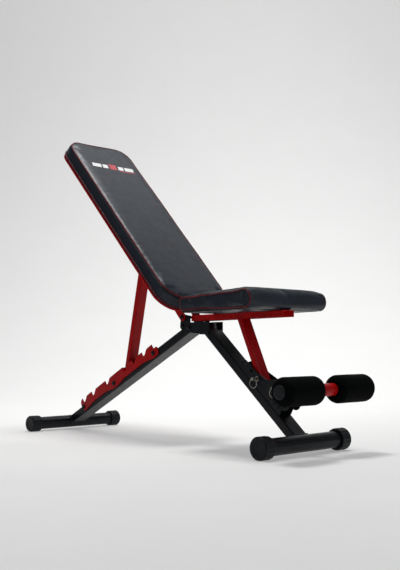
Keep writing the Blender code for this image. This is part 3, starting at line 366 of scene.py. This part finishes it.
def sweep(name: str, path: Sequence[Vector], radius: float, closed: bool, sides: int = 10,
          swell: Optional[Callable[[int], float]] = None) -> bpy.types.Object:
    """Sweeps a round section along a path.

    Args:
        name: The object's name.
        path: Points in metres.
        radius: The section's radius.
        closed: Whether the path is a loop.
        sides: Points round the section.
        swell: Gives a factor on the radius at each path index.

    Returns:
        The tube.
    """
    count = len(path)
    verts: List[Vector] = []
    faces: List[Tuple[int, ...]] = []
    up = Vector((0, 0, 1))
    for index, point in enumerate(path):
        before = path[(index - 1) % count] if closed or index else point
        after = path[(index + 1) % count] if closed or index < count - 1 else point
        run = (after - before).normalized()
        if abs(run.dot(up)) > 0.95:
            up = Vector((1, 0, 0))
        side = run.cross(up).normalized()
        up = side.cross(run).normalized()
        size = radius * (swell(index) if swell else 1.0)
        for step in range(sides):
            turn = 2 * math.pi * step / sides
            verts.append(point + side * math.cos(turn) * size + up * math.sin(turn) * size)
    spans = count if closed else count - 1
    for index in range(spans):
        for step in range(sides):
            onward = (step + 1) % sides
            a = index * sides
            b = ((index + 1) % count) * sides
            faces.append((a + step, a + onward, b + onward, b + step))
    if not closed:
        faces.append(tuple(range(sides)))
        faces.append(tuple((count - 1) * sides + step for step in range(sides)))
    return new_piece(name, verts, faces)


def resample(loop: Sequence[Vector], gap: float) -> List[Vector]:
    """Spreads points evenly round a closed loop.

    Args:
        loop: The loop's corners.
        gap: Distance between new points.

    Returns:
        The new points.
    """
    ends = list(loop) + [loop[0]]
    lengths = [0.0]
    for a, b in zip(ends, ends[1:]):
        lengths.append(lengths[-1] + (b - a).length)
    count = max(8, int(lengths[-1] / gap))
    points = []
    for index in range(count):
        want = lengths[-1] * index / count
        leg = max(i for i in range(len(loop)) if lengths[i] <= want)
        share = (want - lengths[leg]) / max(lengths[leg + 1] - lengths[leg], 1e-9)
        points.append(ends[leg].lerp(ends[leg + 1], share))
    return points


def surface(piece: bpy.types.Object) -> BVHTree:
    """Builds a nearest-point search over a piece.

    Args:
        piece: A mesh object at the origin.

    Returns:
        The search tree.
    """
    points = [v.co.copy() for v in piece.data.vertices]
    return BVHTree.FromPolygons(points, [tuple(p.vertices) for p in piece.data.polygons])


def unique_points(node: str) -> np.ndarray:
    """Lists a CAD node's separate corners.

    Args:
        node: The node's name.

    Returns:
        An array of points.
    """
    points = np.array([v.co for v in NODES[node].data.vertices], float)
    return np.unique(np.round(points, 6), axis=0)


@dataclass
class Panel:
    """A flat board's own frame: along, across and out, from its CAD solid.

    Attributes:
        node: The board's CAD node.
    """

    node: str

    def __post_init__(self) -> None:
        """Fits the frame to the board's corners."""
        points = unique_points(self.node)
        self.middle = (points.max(0) + points.min(0)) / 2
        flat = points[:, [0, 2]] - points[:, [0, 2]].mean(0)
        _, _, axes = np.linalg.svd(flat, full_matrices=False)
        run = axes[0] * (1 if axes[0][0] > 0 else -1)
        self.along = Vector((run[0], 0, run[1]))
        self.out = Vector((-run[1], 0, run[0]))
        self.points = points

    def local(self, points: np.ndarray) -> np.ndarray:
        """Gives points' along, across and out distances from the board's middle.

        Args:
            points: World points.

        Returns:
            The local points.
        """
        offset = points - self.middle
        return np.stack([offset @ np.array(self.along), offset[:, 1], offset @ np.array(self.out)], 1)

    def world(self, along: float, across: float, out: float) -> Vector:
        """Gives the world point at local distances.

        Args:
            along: Distance along the board.
            across: Distance across it.
            out: Distance out of it.

        Returns:
            The world point.
        """
        return Vector(self.middle) + self.along * along + Vector((0, across, 0)) + self.out * out


# ------------------------------------------------------------------ upholstery


@dataclass
class Cushion:
    """A stuffed cover swollen by a cloth simulation.

    Attributes:
        node: The CAD solid it stands for.
        body: The CAD body it moves with.
        panel: The board it is stapled to.
        cap: Furthest that a point may swell, in metres.
        voxel: Remesh size in metres.
        shrink: How much smaller the cover starts, in metres.
        fill: How tightly it is stuffed; not used.
    """

    node: str
    body: str
    panel: Panel
    cap: float
    voxel: float
    shrink: float
    fill: float

    def build(self, shop: Shop) -> bpy.types.Object:
        """Builds the cover.

        Args:
            shop: The finishes.

        Returns:
            The cushion.
        """
        mesh = NODES[self.node].data.copy()
        self.piece = bpy.data.objects.new(self.node + "_cover", mesh)
        bpy.context.scene.collection.objects.link(self.piece)
        shape = bmesh.new()
        shape.from_mesh(mesh)
        bmesh.ops.remove_doubles(shape, verts=shape.verts, dist=1e-5)
        shape.normal_update()
        for vert in shape.verts:
            vert.co -= vert.normal * self.shrink
        shape.to_mesh(mesh)
        shape.free()
        bpy.context.view_layer.objects.active = self.piece
        self.piece.select_set(True)
        mesh.remesh_voxel_size = self.voxel
        bpy.ops.object.voxel_remesh()
        self.swell()
        self.crease()
        self.refine()
        shop.dress(self.piece, "leatherette")
        return self.piece

    def heights(self) -> np.ndarray:
        """Measures each point's height over the board.

        Returns:
            One height per vertex, from the cushion's own lowest point.
        """
        points = np.array([v.co for v in self.piece.data.vertices], float)
        out = self.panel.local(points)[:, 2]
        return out - out.min()

    def swell(self) -> None:
        """Inflates the cover, held flat where it lies on its board."""
        piece = self.piece
        mesh = piece.data
        rest = np.array([v.co for v in mesh.vertices], float)
        heights = self.heights()
        held = piece.vertex_groups.new(name="held")
        held.add([int(i) for i in np.nonzero(heights < 0.004)[0]], 1.0, "REPLACE")
        step = piece.modifiers.new("swell", "CLOTH")
        settings = step.settings
        settings.quality = 5
        settings.mass = 0.3
        settings.tension_stiffness = 12
        settings.compression_stiffness = 12
        settings.bending_stiffness = 3.0
        settings.use_pressure = True
        settings.uniform_pressure_force = 4.0
        settings.vertex_group_mass = "held"
        settings.effector_weights.gravity = 0
        step.collision_settings.use_collision = False
        scene = bpy.context.scene
        for tick in range(1, 21):
            scene.frame_set(tick)
        graph = bpy.context.evaluated_depsgraph_get()
        final = piece.evaluated_get(graph).to_mesh()
        moved = np.array([v.co for v in final.vertices], float)
        piece.evaluated_get(graph).to_mesh_clear()
        piece.modifiers.remove(step)
        scene.frame_set(1)
        shift = moved - rest
        size = np.linalg.norm(shift, axis=1)
        limited = self.cap * np.tanh(size / self.cap)
        shift *= (limited / np.maximum(size, 1e-9))[:, None]
        mesh.vertices.foreach_set("co", (rest + shift).astype(np.float32).ravel())
        mesh.update()

    def crease(self) -> None:
        """Hook for pulls and folds in the cover."""

    def refine(self) -> None:
        """Subdivides once and shades smooth."""
        step = self.piece.modifiers.new("refine", "SUBSURF")
        step.levels = 1
        step.render_levels = 1
        graph = bpy.context.evaluated_depsgraph_get()
        final = bpy.data.meshes.new_from_object(self.piece.evaluated_get(graph))
        self.piece.modifiers.clear()
        self.piece.vertex_groups.clear()
        self.piece.data = final
        final.shade_smooth()

    def finish(self) -> None:
        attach(self.piece, self.body)
        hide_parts(self.node)

    def laid(self, loop: Sequence[Vector], lift: float) -> List[Vector]:
        """Drops a path onto the cover.

        Args:
            loop: Points near the cover.
            lift: Height over the cover's surface.

        Returns:
            The points on the cover, eased.
        """
        tree = surface(self.piece)
        down = []
        for point in loop:
            place, normal, _, _ = tree.find_nearest(point)
            down.append(place + normal * lift)
        for _ in range(3):
            count = len(down)
            down = [(down[i - 1] + down[i] * 2 + down[(i + 1) % count]) / 4 for i in range(count)]
        return down

    def displace(self, depth: Callable[[np.ndarray], np.ndarray]) -> None:
        """Moves the cover's points along their normals.

        Args:
            depth: Gives a distance for each local point.
        """
        mesh = self.piece.data
        points = np.array([v.co for v in mesh.vertices], float)
        normals = np.array([v.normal for v in mesh.vertices], float)
        moved = points + normals * depth(self.panel.local(points))[:, None]
        mesh.vertices.foreach_set("co", moved.astype(np.float32).ravel())
        mesh.update()


def ripple(points: np.ndarray, scale: Tuple[float, float, float], seed: float) -> np.ndarray:
    """Samples smooth noise at points.

    Args:
        points: Local points.
        scale: Cells per metre along each axis.
        seed: Offset into the noise.

    Returns:
        One value from -1 to 1 for each point.
    """
    grid = points * np.array(scale) + seed
    return np.array([noise.noise(Vector(p)) for p in grid])


class BackCushion(Cushion):
    """The backrest's long cushion."""

    def crease(self) -> None:
        """Adds shallow pulls that run in from the welted edge."""

        def depth(local: np.ndarray) -> np.ndarray:
            half = np.abs(local[:, 1]).max()
            long = np.abs(local[:, 0]).max()
            edge = np.minimum(half - np.abs(local[:, 1]), long - np.abs(local[:, 0]))
            near = np.exp(-np.maximum(edge, 0) / 0.030)
            face = np.clip(local[:, 2] / 0.04, 0, 1)
            pulls = ripple(local, (75, 22, 10), 3.1) * 0.0009
            broad = ripple(local, (9, 8, 3), 7.7) * 0.0010
            return face * (pulls * near + broad)

        self.displace(depth)


class SeatCushion(Cushion):
    """The seat's cushion, with its cover drawn round a rolled front."""

    def crease(self) -> None:
        """Adds folds that fan in from the sides over the rolled front."""

        def depth(local: np.ndarray) -> np.ndarray:
            half = np.abs(local[:, 1]).max()
            side = half - np.abs(local[:, 1])
            near = np.exp(-np.maximum(side, 0) / 0.045) * np.clip(side / 0.010, 0, 1)
            front = np.clip((local[:, 0] - 0.045) / 0.07, 0, 1)
            fan = ripple(local, (28, 9, 60), 11.3)
            sharp = -np.abs(fan) * 0.0042 + 0.0012
            soft = ripple(local, (14, 11, 14), 5.2) * 0.0013
            return near * (0.35 + front) * sharp * 0.8 + soft * 0.8

        self.displace(depth)


@dataclass
class Welt:
    """A piped seam laid on a cushion.

    Attributes:
        name: The piece's name.
        cushion: The cushion that it is sewn to.
        loop: Corners near the seam.
        radius: The piping's radius in metres.
    """

    name: str
    cushion: Cushion
    loop: Sequence[Vector]
    radius: float

    def build(self, shop: Shop) -> None:
        """Builds the piping.

        Args:
            shop: The finishes.
        """
        path = self.cushion.laid(resample(self.loop, 0.006), self.radius * 0.45)
        piping = sweep(self.name, path, self.radius, True, 10, lambda i: 1.0 + 0.05 * math.sin(i * 1.7))
        shop.dress(piping, "welt")
        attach(piping, self.cushion.body)
        LOG.info("welt %s: %d points", self.name, len(path))


class Upholstery:
    """Both cushions with their welts and emblem."""

    FRONT_INSET = (0.985, 0.965)
    HEM_LIFT = 0.006
    FRONT_WELT = 0.0021
    HEM_WELT = 0.0018
    SEAT_WELT = 0.0019
    EMBLEM_DROP = 0.118
    PRINT_LIFT = 0.0004

    def __init__(self, shop: Shop) -> None:
        self.shop = shop
        self.back_panel = Panel("back_board")
        self.seat_panel = Panel("seat_board")
        if self.back_panel.along.z > 0:
            self.back_panel.along.negate()
        self.back_panel.out = Vector((-self.back_panel.along.z, 0, self.back_panel.along.x))
        self.back = BackCushion("back_pad", "backrest", self.back_panel, 0.0028, 0.006, -0.0008, 0.9)
        self.seat = SeatCushion("seat_pad", "seat", self.seat_panel, 0.008, 0.0045, -0.0005, 0.85)

    def build(self) -> None:
        self.back.build(self.shop)
        LOG.info("back cushion: %d points", len(self.back.piece.data.vertices))
        self.seat.build(self.shop)
        LOG.info("seat cushion: %d points", len(self.seat.piece.data.vertices))
        self.back_welts()
        self.seat_welts()
        self.emblem()
        self.back.finish()
        self.seat.finish()

    def back_welts(self) -> None:
        """Pipes the back cushion's front edge and its board edge."""
        local = self.back_panel.local(self.back_panel.points)
        rim = local[local[:, 2] > 0]
        order = np.argsort(np.arctan2(rim[:, 1] / 0.127, rim[:, 0] / 0.375))
        outline = rim[order]
        pad = self.back_panel.local(unique_points("back_pad"))
        high = pad[:, 2].max()
        low = pad[:, 2].min()
        long, wide = self.FRONT_INSET
        front = [self.back_panel.world(p[0] * long, p[1] * wide, high - 0.002) for p in outline]
        Welt("back_front_welt", self.back, front, self.FRONT_WELT).build(self.shop)
        hem = [self.back_panel.world(p[0], p[1], low + self.HEM_LIFT) for p in outline]
        Welt("back_board_welt", self.back, hem, self.HEM_WELT).build(self.shop)

    def seat_welts(self) -> None:
        """Pipes the seat cushion's two side panels."""
        points = unique_points("seat_pad")
        half = np.abs(points[:, 1]).max()
        for label, side in (("near", -1), ("far", 1)):
            rim = points[np.abs(points[:, 1] * side - (half - 0.003)) < 0.0006]
            middle = rim.mean(0)
            order = np.argsort(np.arctan2((rim[:, 2] - middle[2]) * 5, rim[:, 0] - middle[0]))
            loop = [Vector((p[0], side * (half - 0.001), p[2])) for p in rim[order]]
            Welt("seat_%s_welt" % label, self.seat, loop, self.SEAT_WELT).build(self.shop)

    def emblem(self) -> None:
        """Prints a plain two-colour bar high on the back cushion."""
        tree = surface(self.back.piece)
        local = self.back_panel.local(unique_points("back_pad"))
        start = local[:, 0].min()
        high = local[:, 2].max()
        bars = (
            ("emblem_left", "print_white", -0.086, -0.050, 0.000, 0.019),
            ("emblem_left_short", "print_white", -0.044, -0.023, 0.000, 0.019),
            ("emblem_middle", "print_red", -0.016, 0.013, -0.006, 0.028),
            ("emblem_right_short", "print_white", 0.020, 0.041, 0.000, 0.019),
            ("emblem_right", "print_white", 0.047, 0.084, 0.000, 0.019),
            ("emblem_rule", "print_red", 0.020, 0.084, 0.024, 0.0035),
        )
        for name, finish, left, right, drop, height in bars:
            verts = []
            across_steps = 12
            for row in range(3):
                for column in range(across_steps + 1):
                    slant = 0.004 * row / 2
                    across = left + (right - left) * column / across_steps + slant
                    along = start + self.EMBLEM_DROP + drop + height * (1 - row / 2)
                    ray_from = self.back_panel.world(along, across, high + 0.05)
                    hit, _, _, _ = tree.ray_cast(ray_from, -self.back_panel.out)
                    place = hit if hit else self.back_panel.world(along, across, high)
                    verts.append(place + self.back_panel.out * self.PRINT_LIFT)
            width = across_steps + 1
            faces = [
                (r * width + c, r * width + c + 1, (r + 1) * width + c + 1, (r + 1) * width + c)
                for r in range(2)
                for c in range(across_steps)
            ]
            bar = new_piece(name, verts, faces)
            self.shop.dress(bar, finish)
            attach(bar, "backrest")


# ------------------------------------------------------------------ foam


@dataclass
class Roller:
    """A foam sleeve on the leg hold.

    Attributes:
        label: near or far.
    """

    label: str

    def build(self, shop: Shop) -> None:
        """Builds the sleeve with soft ends and a slightly uneven skin.

        Args:
            shop: The finishes.
        """
        node = "foam_roller_" + self.label
        low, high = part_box(node)
        middle = (low + high) / 2
        radius = (high.z - low.z) / 2
        half = (high.y - low.y) / 2
        plug_low, plug_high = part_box("roller_plug_" + self.label)
        hole = 0.4 * (plug_high.z - plug_low.z)
        roll = radius * 0.48
        profile: List[Tuple[float, float]] = [(hole, -half + 0.004), (hole + 0.003, -half + 0.0015)]
        for step in range(13):
            turn = math.radians(90 * step / 12)
            out = radius - roll + roll * math.sin(turn) ** 0.9
            profile.append((out, -half + roll - roll * math.cos(turn)))
        for step in range(1, 16):
            profile.append((radius, -half + roll + (half - roll) * step / 16))
        profile += [(r, -y) for r, y in reversed(profile)]
        around = 72
        verts = []
        for r, y in profile:
            for step in range(around):
                turn = 2 * math.pi * step / around
                probe = Vector((math.cos(turn) * r * 26, (middle.y + y) * 26, math.sin(turn) * r * 26))
                size = r * (1 + 0.010 * noise.noise(probe)) if r > hole + 0.004 else r
                across = middle.x + math.cos(turn) * size
                verts.append((across, middle.y + y, middle.z + math.sin(turn) * size))
        faces = []
        for ring in range(len(profile)):
            onward = (ring + 1) % len(profile)
            for step in range(around):
                following = (step + 1) % around
                faces.append((ring * around + step, ring * around + following,
                              onward * around + following, onward * around + step))
        piece = new_piece("foam_sleeve_" + self.label, verts, faces)
        shop.dress(piece, "foam")
        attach(piece, "roller_" + self.label)
        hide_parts(node)
        LOG.info("foam sleeve %s", self.label)


# ------------------------------------------------------------------ metalwork


@dataclass
class Weld:
    """A bead of weld metal with overlapping scales.

    Attributes:
        name: The piece's name.
        body: The CAD body it is on.
        path: Points along the bead.
        radius: The bead's half width in metres.
        finish: The finish's key.
        closed: Whether the bead is a loop.
    """

    name: str
    body: str
    path: Sequence[Vector]
    radius: float
    finish: str = "weld"
    closed: bool = False

    def build(self, shop: Shop) -> None:
        """Builds the bead.

        Args:
            shop: The finishes.
        """
        points = list(self.path)
        dense: List[Vector] = []
        ends = points + ([points[0]] if self.closed else [])
        for a, b in zip(ends, ends[1:]):
            steps = max(2, int((b - a).length / 0.0012))
            dense += [a.lerp(b, i / steps) for i in range(steps)]
        if not self.closed:
            dense.append(points[-1])
        bead = sweep(self.name, dense, self.radius, self.closed, 8,
                     lambda i: 0.86 + 0.16 * abs(math.sin(i * 1.05)))
        shop.dress(bead, self.finish)
        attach(bead, self.body)


class Frame:
    """The steel and plastic of the bench: finishes, softened edges and welds."""

    def __init__(self, shop: Shop) -> None:
        self.shop = shop

    def build(self) -> None:
        """Dresses every CAD node by its record slot and adds the welds."""
        slots = {entry["node"]: entry["material_slot"] for entry in frame["record"]["subparts"]}
        for name, node in sorted(NODES.items()):
            if slots[name] in ("leatherette", "foam"):
                continue
            key = "scrim" if name == "seat_board" else slots[name]
            self.shop.dress(node, key)
            self.soften(node)
        LOG.info("dressed %d CAD nodes", len(NODES))
        self.foot_welds("front")
        self.foot_welds("rear")

    def soften(self, node: bpy.types.Object) -> None:
        """Rounds a node's edges so that they catch a thin light.

        Args:
            node: A CAD node.
        """
        low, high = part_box(node.name)
        width = min(0.0006, 0.05 * min(high - low))
        joined = node.modifiers.new("weld_corners", "WELD")
        joined.merge_threshold = 0.00001
        edge = node.modifiers.new("soft_edges", "BEVEL")
        edge.width = width
        edge.segments = 2
        edge.limit_method = "ANGLE"
        edge.angle_limit = math.radians(40)
        edge.harden_normals = True

    def foot_welds(self, end: str) -> None:
        """Runs a bead round the saddle between a leg and its floor tube.

        Args:
            end: front or rear.
        """
        leg_points = unique_points(end + "_leg")
        low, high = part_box(end + "_foot")
        middle = (low + high) / 2
        radius = (high.z - low.z) / 2
        body = end + "_frame"
        away = np.linalg.norm(leg_points[:, [0, 2]] - np.array([middle.x, middle.z]), axis=1)
        rim = leg_points[np.abs(away - radius) < 0.0012]
        half = np.abs(leg_points[:, 1]).max()
        outer = rim[np.abs(rim[:, 1]) > half - 0.0035]
        turns = np.arctan2(outer[:, 2] - middle.z, outer[:, 0] - middle.x)
        centre = math.atan2(np.sin(turns).mean(), np.cos(turns).mean())
        swings = (turns - centre + math.pi) % (2 * math.pi) - math.pi
        first = centre + swings.min()
        last = centre + swings.max()
        reach = radius + 0.0010
        loop: List[Vector] = []
        steps = 14

        def spot(turn: float, across: float) -> Vector:
            return Vector((middle.x + math.cos(turn) * reach, across, middle.z + math.sin(turn) * reach))

        for step in range(steps + 1):
            loop.append(spot(first + (last - first) * step / steps, -half - 0.0008))
        for step in range(1, 9):
            loop.append(spot(last, -half + 2 * half * step / 9))
        for step in range(steps + 1):
            loop.append(spot(last + (first - last) * step / steps, half + 0.0008))
        for step in range(1, 9):
            loop.append(spot(first, half - 2 * half * step / 9))
        Weld(end + "_foot_weld", body, loop, 0.0022, "weld", True).build(self.shop)
        LOG.info("%s foot weld", end)


# ------------------------------------------------------------------ studio


@dataclass(frozen=True)
class Softbox:
    """One area light.

    Attributes:
        name: The light's name.
        place: Its position in metres.
        aim: The point that it faces.
        size: Width and height in metres.
        power: Watts.
    """

    name: str
    place: Tuple[float, float, float]
    aim: Tuple[float, float, float]
    size: Tuple[float, float]
    power: float

    def build(self) -> None:
        """Hangs the light."""
        lamp = bpy.data.lights.new(self.name, "AREA")
        lamp.shape = "RECTANGLE"
        lamp.size = self.size[0]
        lamp.size_y = self.size[1]
        lamp.energy = self.power
        made = bpy.data.objects.new(self.name, lamp)
        made.location = self.place
        facing = Vector(self.aim) - Vector(self.place)
        made.rotation_euler = facing.to_track_quat("-Z", "Y").to_euler()
        bpy.context.scene.collection.objects.link(made)


class Studio:
    """Seamless paper, softboxes, a pale room and the camera."""

    LIGHTS = (
        Softbox("overhead", (-0.1, 0.0, 2.7), (-0.05, 0.0, 0.0), (0.7, 0.6), 44),
        Softbox("backdrop_wash", (-0.4, 1.4, 2.8), (-2.8, 2.8, 1.2), (3.0, 1.2), 100),
        Softbox("right_strip", (2.6, 1.2, 1.4), (0.0, 0.0, 0.4), (0.5, 1.8), 12),
        Softbox("left_key", (-0.6, -2.6, 1.9), (0.0, 0.0, 0.3), (0.9, 0.9), 10),
    )

    BEHIND = Vector((-0.7206, 0.6934, 0.0))
    ASIDE = Vector((0.6934, 0.7206, 0.0))
    FLOOR = (-6.0, 1.6)
    CURVE = 3.6
    TOP = 7.0
    HALF_WIDTH = 9.0
    CURVE_STEPS = 32
    ROOM = ("#dfe4ee", 0.16)
    LENS = 55.09
    CAMERA = (1.9161, -1.7733, 0.2872)
    CAMERA_TILT = 3.844
    CAMERA_TURN = 46.094

    def __init__(self, shop: Shop) -> None:
        self.shop = shop

    def build(self) -> None:
        """Builds the room."""
        self.paper()
        for light in self.LIGHTS:
            light.build()
        world = bpy.context.scene.world or bpy.data.worlds.new("room")
        bpy.context.scene.world = world
        world.use_nodes = True
        backdrop = world.node_tree.nodes["Background"]
        backdrop.inputs["Color"].default_value = linear(self.ROOM[0])
        backdrop.inputs["Strength"].default_value = self.ROOM[1]
        bpy.context.scene.view_settings.view_transform = "Standard"
        self.camera()

    def paper(self) -> None:
        """Lays a sheet that turns up behind the bench in one wide curve."""
        profile: List[Tuple[float, float]] = [(reach, 0.0) for reach in self.FLOOR]
        for step in range(1, self.CURVE_STEPS + 1):
            turn = math.radians(90 * step / self.CURVE_STEPS)
            reach = self.FLOOR[1] + self.CURVE * math.sin(turn)
            profile.append((reach, self.CURVE - self.CURVE * math.cos(turn)))
        profile.append((self.FLOOR[1] + self.CURVE, self.TOP))
        verts = []
        for reach, height in profile:
            for wide in (-self.HALF_WIDTH, self.HALF_WIDTH):
                verts.append(self.BEHIND * reach + self.ASIDE * wide + Vector((0, 0, height - 0.0004)))
        faces = [(2 * i, 2 * i + 1, 2 * i + 3, 2 * i + 2) for i in range(len(profile) - 1)]
        sheet = new_piece("studio_paper", verts, faces)
        self.shop.dress(sheet, "paper")

    def camera(self) -> None:
        """Places the camera low at the bench's front corner."""
        lens = bpy.data.cameras.new("camera")
        lens.lens = self.LENS
        made = bpy.data.objects.new("camera", lens)
        made.location = self.CAMERA
        made.rotation_euler = (math.radians(90 + self.CAMERA_TILT), 0, math.radians(self.CAMERA_TURN))
        bpy.context.scene.collection.objects.link(made)
        bpy.context.scene.camera = made
        bpy.context.scene.render.resolution_x = 400
        bpy.context.scene.render.resolution_y = 570


def main() -> None:
    """Builds every look in order."""
    shop = Shop()
    Frame(shop).build()
    Upholstery(shop).build()
    for label in ("near", "far"):
        Roller(label).build(shop)
    Studio(shop).build()


if __name__ == "__main__":
    main()
